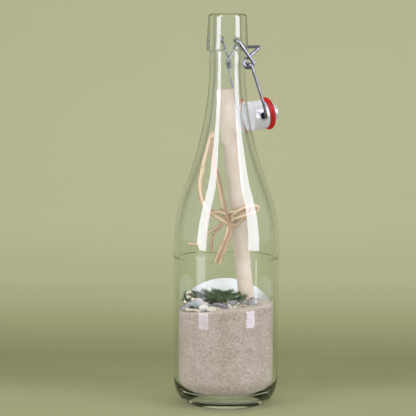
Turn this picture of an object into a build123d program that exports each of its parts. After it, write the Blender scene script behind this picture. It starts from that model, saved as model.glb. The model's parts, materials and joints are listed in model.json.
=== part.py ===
from build123d import *
import math
import os

# Message in a bottle: a one litre swing-top bottle holding a paper scroll tied with raffia,
# which stands in sand among sea shells and an evergreen sprig.
# Millimetres. +Z is up and the origin is the centre of the base, on the surface that it stands on.
# The closure turns about an axis along Y and hangs on the +X side.

overrun = 1.0
fit_gap = 0.3
turn_clearance = 0.08

# Glass bottle
rim_height = 320.0
body_radius = 43.0
band_stand = 0.4
band_bottom = 121.3
band_top = 131.0
neck_radius = 14.5
neck_length = 39.0
flare_share = 0.66
collar_height = 30.5
collar_radius = 17.2
collar_corner = 1.8
lip_radius = 15.9
lip_round = 3.0
mouth_round = 0.9
bore_radius = 9.6
bore_length = 46.0
wall = 3.8
inner_shoulder_drop = 2.0
heel_height = 23.0
heel_width = 15.0
foot_width = 2.5
punt_height = 4.5
floor_height = 6.8
floor_corner = 16.2
floor_rise = 2.2
pivot_drop = 21.6
socket_dish_radius = 3.1
socket_dish_depth = 1.6
socket_depth = 4.2

# Lever wire, sprung into the collar's sockets
lever_wire_radius = 1.35
lever_arm_offset = 19.5
lever_reach = 21.2
lever_hang = 29.5
eye_radius = 3.45
eye_corner_share = 0.93
eye_step = 1.5
thumb_length = 20.6
thumb_inset = 0.2
lever_bend = 2.2
thumb_bend = 3.2
pin_end_gap = 0.6
eye_side_gap = 0.6

# Bail wire, hooked through the eyes and run through the stopper
bail_wire_radius = 1.2
bail_length = 45.4
bail_hook_length = 4.0
bail_waist = 19.2
bail_waist_share = 0.75
bail_foot = 15.6
bail_hook_bend = 1.8
bail_waist_bend = 12.0
bail_foot_bend = 4.0

# Porcelain stopper and its rubber gasket
stopper_radius = 12.2
stopper_head = 9.2
stopper_top_round = 2.0
stopper_side_draft = 0.3
stopper_skirt = 6.1
stopper_chamfer = 0.8
plug_core_radius = 5.6
plug_radius = 6.8
plug_draft = 0.4
plug_length = 6.0
plug_round = 1.5
funnel_radius = 3.3
funnel_depth = 3.6
lean_gap = 0.5
gasket_radius = 13.5
gasket_thickness = 4.5
gasket_gap = 0.05

# Paper label on the back of the bottle
label_thickness = 0.15
label_glue = 0.05
label_width = 100.0
label_heel_gap = 2.0
label_height = 73.5
label_arch_radius = 65.0
label_corner = 6.0

# Contents: placed across and away from the side that is looked at, which is turned from the pivot axis
# Their places across and away are drawn for one inside radius, and spread or close up with the real one.
view_turn = 25.0
drawn_radius = 39.2
sand_centre_height = 81.5
sand_slope = 4.5
sand_wall_gap = 0.3
seat_gap = 0.2

# Moss tuft and evergreen sprig
tuft_place = (-29.5, 1.0)
tuft_radius = 6.4
tuft_height = 4.2
sprig_stem_radius = 0.8
sprig_needles = 34
sprig_needle_length = 7.5
sprig_needle_width = 1.1
sprig_bend = 8.0
sprig_lean = 42.0
sprig_fan = (-52.0, 8.0, 58.0, -20.0, 34.0)
sprig_route = [(-29.0, 14.5), (-22.5, 23.5), (-11.0, 30.0), (2.5, 31.8), (14.0, 28.5)]

# Shells, each with its place across and away.
# Coiled: radius of the first whorl, then how it is rolled, tipped and turned, and what it is lifted by
coiled_shells = {
    "periwinkle_left": (3.6, 20, -15, 40, -29.8, 1.0, 4.4),
    "whelk_left": (2.6, 0, -10, 200, -31.5, -10.5, 0.0),
    "periwinkle_grey": (2.1, 0, -12, 70, 3.0, -7.5, 0.0),
    "whelk_dark": (1.9, 0, -8, 150, 11.5, -19.0, 0.0),
}
whorl_step_share = 0.72
whorl_shrink_share = 0.66
whorl_rise_share = 0.4
whorls = 3
mouth_share = 0.42
mouth_aim = (-0.55, -0.75, 0.1)

# Domed half shells: radius, height, tilt and turn
domed_shells = {
    "cockle_blue_grey": (4.9, 3.2, 48, 8, -23.4, -7.0),
    "cockle_cream_small": (3.1, 2.6, 20, 200, -15.6, -13.5),
    "cockle_cream_large": (4.3, 3.4, 12, 30, -11.5, -23.0),
    "cockle_beige_small": (2.5, 2.0, 0, 120, 16.8, -15.5),
    "cockle_grey_right": (4.6, 3.1, 42, -14, 24.5, -12.5),
}
shell_thickness = 0.9
beak_share = 0.24
beak_reach_share = 0.86
beak_height_share = 0.12

mussel_length = 13.0
mussel_width = 6.6
mussel_belly_share = 0.25
mussel_turn = 12.0
mussel_place = (-5.6, -11.5)

limpet_radius = 4.6
limpet_height = 3.9
limpet_crown_share = 0.16
limpet_tilt = 14.0
limpet_place = (9.5, -10.5)

# Broken flat pieces: outline, thickness and tilt
chips = {
    "chip_beige_left": ([(0, 0), (3.6, 0.4), (4.4, 2.4), (1.2, 3.2)], 1.2, 0, -26.5, -17.5),
    "chip_beige_front": ([(0, 0), (4.2, -0.6), (4.8, 2.0), (2.4, 4.4), (0.4, 2.6)], 1.3, 0, -22.5, -24.0),
    "chip_white_triangle": ([(0, 0), (4.6, 0), (2.1, 4.0)], 1.2, 38, 2.6, -21.5),
}

# Paper scroll
scroll_radius = 6.9
sheet_thickness = 0.5
wrap_pitch = 0.95
half_turns = 5
scroll_top_place = (-1.4, -0.6)
scroll_top_drop = 15.4
scroll_foot_place = (17.6, 5.0)
scroll_sink = 4.9
flap_lift = 0.45
flap_length = 41.0
dent_clearance = 1.0
dent_drop = 0.4

# Raffia
strand_diameter = 1.6
wrap_tilt = 17.0
wrap_space = 2.4
wrap_height_share = 0.435
knot_length = 7.0
knot_width = 4.8
knot_band_radius = 1.0
knot_turn = 236.0
knot_lean = 25.0
bend_share = 0.45

# Strands of raffia: points from the knot's middle, across, away and up
strand_routes = {
    "raffia_loop_left": [
        (-2.9, -1.4, 1.5), (-7.7, -2.2, 12.4), (-10.3, -1.6, 28.4), (-12.7, -0.6, 44.4), (-13.7, 0.8, 55.9),
        (-13.5, 2.0, 63.0), (-15.7, 3.0, 62.8), (-17.3, 2.5, 55.4), (-19.9, 1.2, 44.4), (-23.3, -1.0, 30.4),
        (-22.3, -3.2, 17.9), (-15.5, -4.2, 6.9), (-3.3, -2.5, -0.7),
    ],
    "raffia_loop_right": [
        (2.0, -3.1, 1.4), (8.5, -5.6, 5.2), (15.5, -5.2, 8.4), (21.5, -2.2, 8.8), (24.1, -0.2, 5.4),
        (20.7, -1.0, 2.0), (13.1, -3.6, 0.2), (2.8, -2.5, -2.2),
    ],
    "raffia_tail_long": [
        (-2.6, -0.8, -2.4), (-9.1, -3.0, -7.4), (-16.5, -6.8, -12.6), (-23.1, -8.2, -20.0),
        (-28.3, -7.4, -23.0), (-32.9, -5.2, -21.0),
    ],
    "raffia_tail_brown": [
        (-2.0, -3.2, -2.2), (-7.1, -7.4, -7.4), (-12.3, -9.4, -13.4), (-14.9, -10.0, -20.4),
        (-14.5, -9.8, -27.4),
    ],
    "raffia_tail_front": [
        (-0.1, -2.0, -3.2), (-1.1, -6.0, -11.2), (-4.3, -8.4, -20.0), (-8.3, -10.0, -28.4),
        (-11.1, -10.6, -36.4),
    ],
    "raffia_tail_back": [
        (1.9, -1.2, -3.4), (2.1, -4.6, -12.2), (-0.3, -7.4, -21.6), (-3.7, -9.0, -30.4),
        (-5.3, -9.8, -38.4),
    ],
    "raffia_tail_short": [
        (-0.3, -2.3, 2.2), (-2.3, -6.6, 8.8), (-6.9, -8.4, 12.0), (-12.1, -8.8, 10.4), (-16.9, -8.2, 5.2),
        (-19.5, -7.4, -1.0),
    ],
}


inner_radius = body_radius - wall
band_radius = body_radius + band_stand
pivot_height = rim_height - pivot_drop
collar_bottom = rim_height - collar_height
flare_start = rim_height - neck_length
bore_bottom = rim_height - bore_length
inner_shoulder_base = band_top - inner_shoulder_drop
foot_outer_radius = body_radius - heel_width
foot_inner_radius = foot_outer_radius - foot_width
floor_radius = inner_radius - floor_corner
label_bottom = heel_height + label_heel_gap
label_top = label_bottom + label_height
room = inner_radius / drawn_radius


def contents(shape):
    """Turns what is laid out across and away from the viewed side into the bottle's own axes."""
    return Rot(0, 0, -view_turn) * shape


def revolved(outline):
    """One turn about Z of an outline drawn in radius and height."""
    return revolve(Plane.XZ * make_face(outline), Axis.Z)


def double_bend(low_radius, low_height, high_radius, high_height, share):
    """Two tangent arcs between two upright lines: the shoulder's round and the neck's flare above it."""
    step = low_radius - high_radius
    rise = high_height - low_height
    turn = 2 * math.atan2(step, rise)
    total = rise / math.sin(turn)
    flare = share * total
    shoulder = total - flare
    return turn, flare, shoulder


def double_bend_arcs(low_radius, low_height, high_radius, high_height, share):
    turn, flare, shoulder = double_bend(low_radius, low_height, high_radius, high_height, share)
    start = (low_radius, low_height)
    middle_low = (low_radius - shoulder * (1 - math.cos(turn / 2)), low_height + shoulder * math.sin(turn / 2))
    meet = (low_radius - shoulder * (1 - math.cos(turn)), low_height + shoulder * math.sin(turn))
    middle_high = (high_radius + flare * (1 - math.cos(turn / 2)), high_height - flare * math.sin(turn / 2))
    end = (high_radius, high_height)
    return ThreePointArc(start, middle_low, meet), ThreePointArc(meet, middle_high, end)


def neck_flare():
    """The turn and the radius of the concave arc between neck and shoulder, outside."""
    turn, flare, shoulder = double_bend(band_radius, band_top, neck_radius, flare_start, flare_share)
    return flare


def neck_slope(height):
    """How far the outside of the flare leans from upright at a height, in radians."""
    return math.asin((flare_start - height) / neck_flare())


def neck_surface(height):
    """Outside radius of the flare at a height."""
    return neck_radius + neck_flare() * (1 - math.cos(neck_slope(height)))


def collar_surface(height):
    """Outside radius of the tapered collar at a height."""
    low = collar_bottom + collar_corner
    high = rim_height - lip_round
    return collar_radius + (lip_radius - collar_radius) * (height - low) / (high - low)


def dome_arc(radius, low, high):
    """An arc from the axis at one height out to a radius at another."""
    rise = high - low
    sphere = (radius**2 + rise**2) / (2 * rise)
    half = math.asin(radius / abs(sphere)) / 2
    middle = (abs(sphere) * math.sin(half), high - sphere * (1 - math.cos(half)))
    return ThreePointArc((0, high), middle, (radius, low))


def glass_outline():
    inner_drop = heel_height - floor_height
    outside = [
        dome_arc(foot_inner_radius, 0, punt_height),
        Line((foot_inner_radius, 0), (foot_outer_radius, 0)),
        EllipticalCenterArc((foot_outer_radius, heel_height), heel_width, heel_height, 270, arc_size=90),
        Line((body_radius, heel_height), (body_radius, band_bottom)),
        Line((body_radius, band_bottom), (band_radius, band_bottom + band_stand)),
        Line((band_radius, band_bottom + band_stand), (band_radius, band_top)),
        *double_bend_arcs(band_radius, band_top, neck_radius, flare_start, flare_share),
        Line((neck_radius, flare_start), (neck_radius, collar_bottom)),
        Line((neck_radius, collar_bottom), (collar_radius - collar_corner, collar_bottom)),
        CenterArc((collar_radius - collar_corner, collar_bottom + collar_corner), collar_corner, 270, 90),
        Line((collar_radius, collar_bottom + collar_corner), (lip_radius, rim_height - lip_round)),
        CenterArc((lip_radius - lip_round, rim_height - lip_round), lip_round, 0, 90),
        Line((lip_radius - lip_round, rim_height), (bore_radius + mouth_round, rim_height)),
    ]
    inside = [
        CenterArc((bore_radius + mouth_round, rim_height - mouth_round), mouth_round, 90, 90),
        Line((bore_radius, rim_height - mouth_round), (bore_radius, bore_bottom)),
        *double_bend_arcs(inner_radius, inner_shoulder_base, bore_radius, bore_bottom, flare_share),
        Line((inner_radius, inner_shoulder_base), (inner_radius, heel_height)),
        EllipticalCenterArc((floor_radius, heel_height), floor_corner, inner_drop, 270, arc_size=90),
        dome_arc(floor_radius, floor_height, floor_height + floor_rise),
        Line((0, floor_height + floor_rise), (0, punt_height)),
    ]
    return outside + inside


def socket(side):
    """One blind socket in the collar: a shallow dish and the hole that holds the lever's pin."""
    face = collar_surface(pivot_height)
    outward = Plane((0, side * (face + overrun), pivot_height), z_dir=(0, -side, 0))
    dish = outward * Cone(socket_dish_radius + overrun, lever_wire_radius, socket_dish_depth + overrun,
                          align=(Align.CENTER, Align.CENTER, Align.MIN))
    hole = outward * Cylinder(lever_wire_radius + turn_clearance, socket_depth + overrun,
                              align=(Align.CENTER, Align.CENTER, Align.MIN))
    return dish + hole


def make_bottle():
    bottle = revolved(glass_outline())
    for side in (-1, 1):
        bottle -= socket(side)
    return bottle


def wire(points, radii, radius):
    """A round wire along straight runs joined by bends, one bend radius for each corner."""
    path = FilletPolyline(*points, radius=radii)
    start = path.position_at(0)
    section = Plane(start, z_dir=path.tangent_at(0)) * Circle(radius)
    return sweep(section, path=path)


def mirrored(points):
    """The same points on the other side of the bottle, in the order that closes the wire."""
    return [(x, -y, z) for x, y, z in reversed(points)]


lever_turn = math.radians(lever_hang) + math.asin(eye_radius / lever_reach)
eye_x = lever_reach * math.sin(math.radians(lever_hang))
eye_z = pivot_height - lever_reach * math.cos(math.radians(lever_hang))
eye_gap = eye_radius - lever_wire_radius - bail_wire_radius
bail_axis_x = eye_x
bail_axis_z = eye_z - (eye_gap - fit_gap)


def make_lever():
    """Pin in the socket, arm, one turn round the eye, thumb arm and crossbar, then the same again mirrored."""
    down = (math.sin(lever_turn), -math.cos(lever_turn))
    back = (down[1], -down[0])
    reach = math.sqrt(lever_reach**2 - eye_radius**2) + eye_radius
    side = 2 * eye_radius
    arm_end = (reach * down[0], pivot_height + reach * down[1])
    eye_low = (arm_end[0] + side * back[0], arm_end[1] + side * back[1])
    eye_back = (eye_low[0] - side * down[0], eye_low[1] - side * down[1])
    thumb = (eye_back[0] - thumb_length * back[0], eye_back[1] - thumb_length * back[1])
    pin = collar_surface(pivot_height) - socket_depth + pin_end_gap
    offsets = [lever_arm_offset, lever_arm_offset - thumb_inset, lever_arm_offset - thumb_inset - eye_step]
    offsets += [offsets[-1] - eye_step, offsets[-1] - eye_step - thumb_inset]
    near = [
        (0, -pin, pivot_height),
        (0, -offsets[0], pivot_height),
        (arm_end[0], -offsets[1], arm_end[1]),
        (eye_low[0], -offsets[2], eye_low[1]),
        (eye_back[0], -offsets[3], eye_back[1]),
        (thumb[0], -offsets[4], thumb[1]),
    ]
    eye_bend = eye_corner_share * eye_radius
    bends = [lever_bend, eye_bend, eye_bend, eye_bend, thumb_bend]
    return wire(near + mirrored(near), bends + bends[::-1], lever_wire_radius)


def hang():
    """The bail's lean from upright and the stopper's tilt, found so that the stopper's top face lies on the neck."""
    lean = math.radians(lever_hang)
    for _ in range(60):
        hole_z = bail_axis_z - bail_length * math.cos(lean)
        tilt = neck_slope(hole_z)
        face_z = hole_z - stopper_head * math.sin(tilt)
        tilt = neck_slope(face_z)
        face_x = neck_surface(face_z) + lean_gap / math.cos(tilt)
        hole_x = face_x + stopper_head * math.cos(tilt)
        lean = math.asin((hole_x - bail_axis_x) / bail_length)
    return lean, tilt


bail_lean, stopper_tilt = hang()
hole_x = bail_axis_x + bail_length * math.sin(bail_lean)
hole_z = bail_axis_z - bail_length * math.cos(bail_lean)


def make_bail():
    """Hook inside the eye, pin through it, arm outside it, and the run through the stopper."""
    arm = lever_arm_offset + lever_wire_radius + eye_side_gap + bail_wire_radius
    hook = lever_arm_offset - 2 * (thumb_inset + eye_step) - lever_wire_radius - fit_gap - bail_wire_radius

    def at(along, offset):
        return (bail_axis_x + along * math.sin(bail_lean), -offset, bail_axis_z - along * math.cos(bail_lean))

    near = [
        at(bail_hook_length, hook),
        at(0, hook),
        at(0, arm),
        at(bail_waist_share * bail_length, bail_waist),
        at(bail_length, bail_foot),
    ]
    bends = [bail_hook_bend, bail_hook_bend, bail_waist_bend, bail_foot_bend]
    return wire(near + mirrored(near), bends + bends[::-1], bail_wire_radius)


def on_stopper(shape):
    """Carries what is drawn about Z, from the hole's centre towards the plug, to where the stopper hangs."""
    nose = (math.cos(stopper_tilt), 0, math.sin(stopper_tilt))
    return Plane((hole_x, 0, hole_z), x_dir=(0, 1, 0), z_dir=nose) * shape


def stopper_outline():
    gasket_end = stopper_skirt + gasket_thickness + 2 * gasket_gap
    tip = gasket_end + plug_length
    side_top = stopper_radius - stopper_side_draft
    return [
        Line((0, -stopper_head), (stopper_radius - stopper_top_round, -stopper_head)),
        CenterArc((stopper_radius - stopper_top_round, stopper_top_round - stopper_head), stopper_top_round, 270, 90),
        Line((stopper_radius, stopper_top_round - stopper_head), (side_top, stopper_skirt - stopper_chamfer)),
        Line((side_top, stopper_skirt - stopper_chamfer), (side_top - stopper_chamfer, stopper_skirt)),
        Line((side_top - stopper_chamfer, stopper_skirt), (plug_core_radius, stopper_skirt)),
        Line((plug_core_radius, stopper_skirt), (plug_core_radius, gasket_end)),
        Line((plug_core_radius, gasket_end), (plug_radius, gasket_end)),
        Line((plug_radius, gasket_end), (plug_radius - plug_draft, tip - plug_round)),
        CenterArc((plug_radius - plug_draft - plug_round, tip - plug_round), plug_round, 0, 90),
        Line((plug_radius - plug_draft - plug_round, tip), (0, tip)),
        Line((0, tip), (0, -stopper_head)),
    ]


def make_stopper():
    body = revolved(stopper_outline())
    through = Cylinder(bail_wire_radius + turn_clearance, 2 * (stopper_radius + overrun))
    body -= Rot(90, 0, 0) * through
    for side in (-1, 1):
        mouth = Plane((0, side * (stopper_radius - funnel_depth), 0), z_dir=(0, side, 0))
        slope = (funnel_radius - bail_wire_radius) / funnel_depth
        funnel = Cone(bail_wire_radius, funnel_radius + slope * overrun, funnel_depth + overrun,
                      align=(Align.CENTER, Align.CENTER, Align.MIN))
        body -= mouth * funnel
    return on_stopper(Rot(0, 0, 90) * body)


def make_gasket():
    start = stopper_skirt + gasket_gap
    end = start + gasket_thickness
    edge = gasket_thickness / 2
    outline = [
        Line((plug_core_radius + gasket_gap, start), (gasket_radius - edge, start)),
        CenterArc((gasket_radius - edge, start + edge), edge, 270, 180),
        Line((gasket_radius - edge, end), (plug_core_radius + gasket_gap, end)),
        Line((plug_core_radius + gasket_gap, end), (plug_core_radius + gasket_gap, start)),
    ]
    return on_stopper(revolved(outline))


def make_label():
    """A thin paper piece that follows the back wall; its arched outline is cut straight through."""
    inner = body_radius + label_glue
    tube = Pos(0, 0, label_bottom) * (
        Cylinder(inner + label_thickness, label_top - label_bottom, align=(Align.CENTER, Align.CENTER, Align.MIN))
        - Cylinder(inner, label_top - label_bottom, align=(Align.CENTER, Align.CENTER, Align.MIN))
    )
    half = body_radius * math.sin(label_width / body_radius / 2)
    side_top = label_top - label_arch_radius + math.sqrt(label_arch_radius**2 - half**2)
    outline = [
        Line((-half, label_bottom), (half, label_bottom)),
        Line((half, label_bottom), (half, side_top)),
        ThreePointArc((half, side_top), (0, label_top), (-half, side_top)),
        Line((-half, side_top), (-half, label_bottom)),
    ]
    face = make_face(outline)
    face = fillet(face.vertices(), label_corner)
    prism = extrude(Plane.XZ * face, -(body_radius + overrun))
    return contents(tube & prism)


def sand_height(across):
    """Height of the sand's sloping top at a distance to the right of the middle."""
    return sand_centre_height + across * math.tan(math.radians(sand_slope))


def on_sand(shape):
    """Carries what is drawn on a level plane to the sand's sloping top."""
    slope = math.radians(sand_slope)
    top = Plane((0, 0, sand_centre_height), x_dir=(math.cos(slope), 0, math.sin(slope)),
                z_dir=(-math.sin(slope), 0, math.cos(slope)))
    return contents(top * shape)


def seated(shape, across, away, lift=0.0):
    """Sets a loose piece down on the sand at a place, as low as its own lowest point allows."""
    low = shape.bounding_box().min.Z
    return on_sand(Pos(room * across, room * away, seat_gap + lift - low) * shape)


def between(low, high):
    return tuple(b - a for a, b in zip(low, high))


scroll_top = (*scroll_top_place, bore_bottom - scroll_top_drop)
scroll_foot = (
    room * scroll_foot_place[0],
    room * scroll_foot_place[1],
    sand_height(room * scroll_foot_place[0]) - scroll_sink,
)


def scroll_plane(share=0.0, angle=0.0):
    """A plane across the scroll at a share of its length from the foot."""
    axis = between(scroll_foot, scroll_top)
    middle = tuple(a + share * d for a, d in zip(scroll_foot, axis))
    side = (math.cos(math.radians(angle)), math.sin(math.radians(angle)), 0)
    along = sum(a * b for a, b in zip(side, axis)) / sum(a * a for a in axis)
    side = tuple(a - along * b for a, b in zip(side, axis))
    return Plane(middle, x_dir=side, z_dir=axis)


scroll_length = math.dist(scroll_foot, scroll_top)


def spiral_face(turns, lifted):
    """Half turns of the sheet from the loose edge inwards; a lifted edge starts half a turn further out."""
    arcs = []
    if lifted:
        arcs.append((-flap_lift, scroll_radius + flap_lift, 180))
    for turn in range(turns):
        centre = -wrap_pitch / 2 * (turn % 2)
        arcs.append((centre, scroll_radius - turn * wrap_pitch / 2, 180 * (turn % 2)))
    edges = []
    for reach in (0, sheet_thickness):
        for centre, radius, start in arcs:
            edges.append(CenterArc((centre, 0), radius - reach, start, 180))
    for centre, radius, start in (arcs[0], arcs[-1]):
        opening = (arcs[0] == (centre, radius, start))
        sign = 1 if (start == 0) == opening else -1
        outer = centre + sign * radius
        edges.append(Line((outer, 0), (outer - sign * sheet_thickness, 0)))
    return make_face(edges)


def make_scroll():
    body = extrude(spiral_face(half_turns, False), scroll_length)
    loose = extrude(spiral_face(half_turns, True), flap_length)
    whole = body + Pos(0, 0, scroll_length - flap_length) * loose
    return contents(scroll_plane() * whole)


def make_sand():
    top = sand_centre_height + body_radius
    ellipse_width = floor_corner - sand_wall_gap
    ellipse_drop = heel_height - floor_height - sand_wall_gap
    floor = floor_height + sand_wall_gap
    filling = revolved([
        dome_arc(floor_radius, floor, floor + floor_rise),
        EllipticalCenterArc((floor_radius, heel_height), ellipse_width, ellipse_drop, 270, arc_size=90),
        Line((inner_radius - sand_wall_gap, heel_height), (inner_radius - sand_wall_gap, top)),
        Line((inner_radius - sand_wall_gap, top), (0, top)),
        Line((0, top), (0, floor + floor_rise)),
    ])
    above = Box(3 * body_radius, 3 * body_radius, 2 * body_radius, align=(Align.CENTER, Align.CENTER, Align.MIN))
    dent = Cylinder(scroll_radius + dent_clearance, scroll_length, align=(Align.CENTER, Align.CENTER, Align.MIN))
    dent = contents(scroll_plane() * Pos(0, 0, -dent_drop) * dent)
    return filling - on_sand(above) - dent


def half_space(size):
    """Everything above the level plane, for cutting a shell off flat."""
    reach = 4 * size
    return Box(reach, reach, reach, align=(Align.CENTER, Align.CENTER, Align.MIN))


def coiled(size, roll, tip, turn):
    """A squat coiled shell: whorls that shrink towards a side, with a hollow mouth."""
    shape = Sphere(size)
    step = 0.0
    whorl = size
    for _ in range(whorls):
        step += whorl_step_share * whorl
        whorl *= whorl_shrink_share
        shape += Pos(step, 0, whorl_rise_share * step) * Sphere(whorl)
    aim = Vector(*mouth_aim)
    mouth = Plane(tuple(whorl_step_share * size * aim), z_dir=tuple(aim))
    shape -= mouth * Cylinder(mouth_share * size, 2 * size, align=(Align.CENTER, Align.CENTER, Align.MIN))
    return Rot(roll, tip, turn) * shape


def domed(size, height, tilt, turn):
    """A domed half shell, hollow below, with its beak at one edge."""
    sphere = (size**2 + height**2) / (2 * height)
    middle = Pos(0, 0, height - sphere)
    dome = middle * Sphere(sphere) - middle * Sphere(sphere - shell_thickness)
    beak = Pos(beak_reach_share * size, 0, beak_height_share * size) * Sphere(beak_share * size)
    shape = (dome & half_space(size)) + (beak & half_space(size))
    return Rot(0, 0, turn) * Rot(tilt, 0, 0) * shape


def pod(length, width):
    """A long body, round across and fuller towards one end."""
    reach = length / 2
    side = width / 2
    outline = [Line((-reach, 0), (reach, 0)), ThreePointArc((reach, 0), (-mussel_belly_share * reach, side), (-reach, 0))]
    return revolve(make_face(outline), Axis.X)


def make_mussel():
    """A long half shell, hollow below, drawn to a point at each end."""
    inside = pod(mussel_length - 2 * shell_thickness, mussel_width - 2 * shell_thickness)
    shape = (pod(mussel_length, mussel_width) - inside) & half_space(mussel_length)
    return seated(Rot(0, 0, mussel_turn) * shape, *mussel_place)


def make_limpet():
    """A blunt cone, hollow below."""
    crown = limpet_crown_share * limpet_radius
    cone = Cone(limpet_radius, crown, limpet_height, align=(Align.CENTER, Align.CENTER, Align.MIN))
    return seated(Rot(limpet_tilt, 0, 0) * (cone - Pos(0, 0, -shell_thickness) * cone), *limpet_place)


def make_shells():
    """Every shell by its node name, set down on the sand."""
    found = {"mussel_purple": make_mussel(), "limpet_patterned": make_limpet()}
    for name, (size, roll, tip, turn, across, away, lift) in coiled_shells.items():
        found[name] = seated(coiled(size, roll, tip, turn), across, away, lift)
    for name, (size, height, tilt, turn, across, away) in domed_shells.items():
        found[name] = seated(domed(size, height, tilt, turn), across, away)
    for name, (points, thickness, tilt, across, away) in chips.items():
        piece = extrude(make_face(Polyline(*points, close=True)), thickness)
        found[name] = seated(Rot(tilt, 0, 0) * piece, across, away)
    return found


def make_tuft():
    """A low clump of dry moss under the left-hand shells."""
    sphere = (tuft_radius**2 + tuft_height**2) / (2 * tuft_height)
    clump = Pos(0, 0, tuft_height - sphere) * Sphere(sphere)
    return seated(clump & half_space(tuft_radius), *tuft_place)


def make_sprig():
    """An evergreen sprig: a bent stem with stiff needles along both sides and on top."""
    route = [(room * across, room * away, 0) for across, away in sprig_route]
    path = FilletPolyline(*route, radius=sprig_bend)
    section = Plane(path.position_at(0), z_dir=path.tangent_at(0)) * Circle(sprig_stem_radius)
    sprig = sweep(section, path=path)
    for count in range(sprig_needles):
        share = (count + 0.5) / sprig_needles
        foot = path.position_at(share)
        along = path.tangent_at(share)
        side = along.cross(Vector(0, 0, 1)).normalized()
        fan = math.radians(sprig_fan[count % len(sprig_fan)])
        lean = math.radians(sprig_lean)
        outward = side * math.sin(fan) + Vector(0, 0, 1) * math.cos(fan)
        aim = along * math.cos(lean) + outward * math.sin(lean)
        needle = Box(sprig_needle_width, sprig_needle_width / 2, sprig_needle_length,
                     align=(Align.CENTER, Align.CENTER, Align.MIN))
        sprig += Plane(foot, x_dir=side, z_dir=aim) * needle
    return on_sand(Pos(0, 0, seat_gap + sprig_stem_radius) * sprig)


def scroll_point(share):
    return tuple(a + share * (b - a) for a, b in zip(scroll_foot, scroll_top))


wrap_centre = scroll_point(wrap_height_share)
strand_radius = strand_diameter / 2
wrap_radius = (scroll_radius + fit_gap + strand_radius) / math.cos(math.radians(wrap_tilt))
knot_distance = wrap_radius + strand_radius + fit_gap + knot_width / 2 + knot_band_radius / 2
knot_centre = (
    wrap_centre[0] + knot_distance * math.cos(math.radians(knot_turn)),
    wrap_centre[1] + knot_distance * math.sin(math.radians(knot_turn)),
    wrap_centre[2] - knot_band_radius,
)


def make_wrap(level):
    """One turn of raffia round the scroll, higher on the right."""
    ring = Rot(0, -wrap_tilt, 0) * Torus(wrap_radius, strand_radius)
    step = (level - 1 / 2) * wrap_space / scroll_length
    return contents(scroll_plane(wrap_height_share + step) * ring)


def make_knot():
    """A pulled-tight lump with a turn of the strand lying over it."""
    half = knot_length / 2
    radius = knot_width / 2
    lump = revolved([
        Line((0, -half), (0, half)),
        EllipticalCenterArc((0, 0), radius, half, 270, arc_size=180),
    ])
    band = Rot(0, 24, 0) * Torus(radius, knot_band_radius)
    return contents(Pos(*knot_centre) * Rot(0, 0, knot_turn) * Rot(knot_lean, 0, 0) * (lump + band))


def strand_ends(name, offsets):
    """The points at the knot: the first, and a loop's last."""
    return (0, len(offsets) - 1) if "loop" in name else (0,)


def strand(name, offsets):
    """A strand along a route; each bend takes its share of the shorter run beside it."""
    points = []
    for index, (across, away, up) in enumerate(offsets):
        spread = 1 if index in strand_ends(name, offsets) else room
        points.append((knot_centre[0] + spread * across, knot_centre[1] + spread * away, knot_centre[2] + up))
    runs = [math.dist(a, b) for a, b in zip(points, points[1:])]
    radii = []
    for index in range(1, len(points) - 1):
        before = Vector(*between(points[index - 1], points[index]))
        after = Vector(*between(points[index], points[index + 1]))
        half_turn = math.radians(before.get_angle(after)) / 2
        radii.append(bend_share * min(runs[index - 1], runs[index]) / math.tan(half_turn))
    path = FilletPolyline(*points, radius=radii)
    section = Plane(path.position_at(0), z_dir=path.tangent_at(0)) * Circle(strand_radius)
    tube = sweep(section, path=path)
    expected = math.pi * strand_radius**2 * path.length
    print(f"{name}: length {path.length:.1f}, least radius {min(radii):.1f}, "
          f"volume {tube.volume / expected:.3f} of section times length")
    print("   radii", [round(radius, 1) for radius in radii])
    return contents(tube)


def main():
    os.makedirs("parts", exist_ok=True)
    nodes = {
        "glass_bottle": make_bottle(),
        "lever_wire": make_lever(),
        "bail_wire": make_bail(),
        "stopper": make_stopper(),
        "gasket": make_gasket(),
        "paper_label": make_label(),
        "sand_filling": make_sand(),
        "moss_tuft": make_tuft(),
        "evergreen_sprig": make_sprig(),
        "paper_scroll": make_scroll(),
        "raffia_wrap_lower": make_wrap(0),
        "raffia_wrap_upper": make_wrap(1),
        "raffia_knot": make_knot(),
    }
    nodes.update(make_shells())
    for name, points in strand_routes.items():
        nodes[name] = strand(name, points)
    for name, shape in nodes.items():
        export_step(shape, f"parts/{name}.step")
        box = shape.bounding_box()
        print(f"{name}: {len(shape.solids())} solid, {shape.volume:.0f} mm3, "
              f"x {box.min.X:.2f} {box.max.X:.2f}, y {box.min.Y:.2f} {box.max.Y:.2f}, z {box.min.Z:.2f} {box.max.Z:.2f}")
    print(f"bail lean {math.degrees(bail_lean):.2f}, stopper tilt {math.degrees(stopper_tilt):.2f}, "
          f"hole ({hole_x:.2f}, {hole_z:.2f}), bail axis ({bail_axis_x:.2f}, {bail_axis_z:.2f})")
    print(f"scroll: gap between turns {wrap_pitch - sheet_thickness:.2f}, length {scroll_length:.1f}")


main()
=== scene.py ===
# %% [markdown]
# # A message in a bottle
#
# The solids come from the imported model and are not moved. This lesson dresses them: it sets up the camera and
# the light, makes the glass, the wires and the porcelain look like what they are, and models the soft and
# natural things inside with more detail than a solid can hold: rolled paper, raffia, sand, shells and greens.

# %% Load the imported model
import json
import math

import bmesh
import bpy
from mathutils import Matrix, Quaternion, Vector, noise


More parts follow.
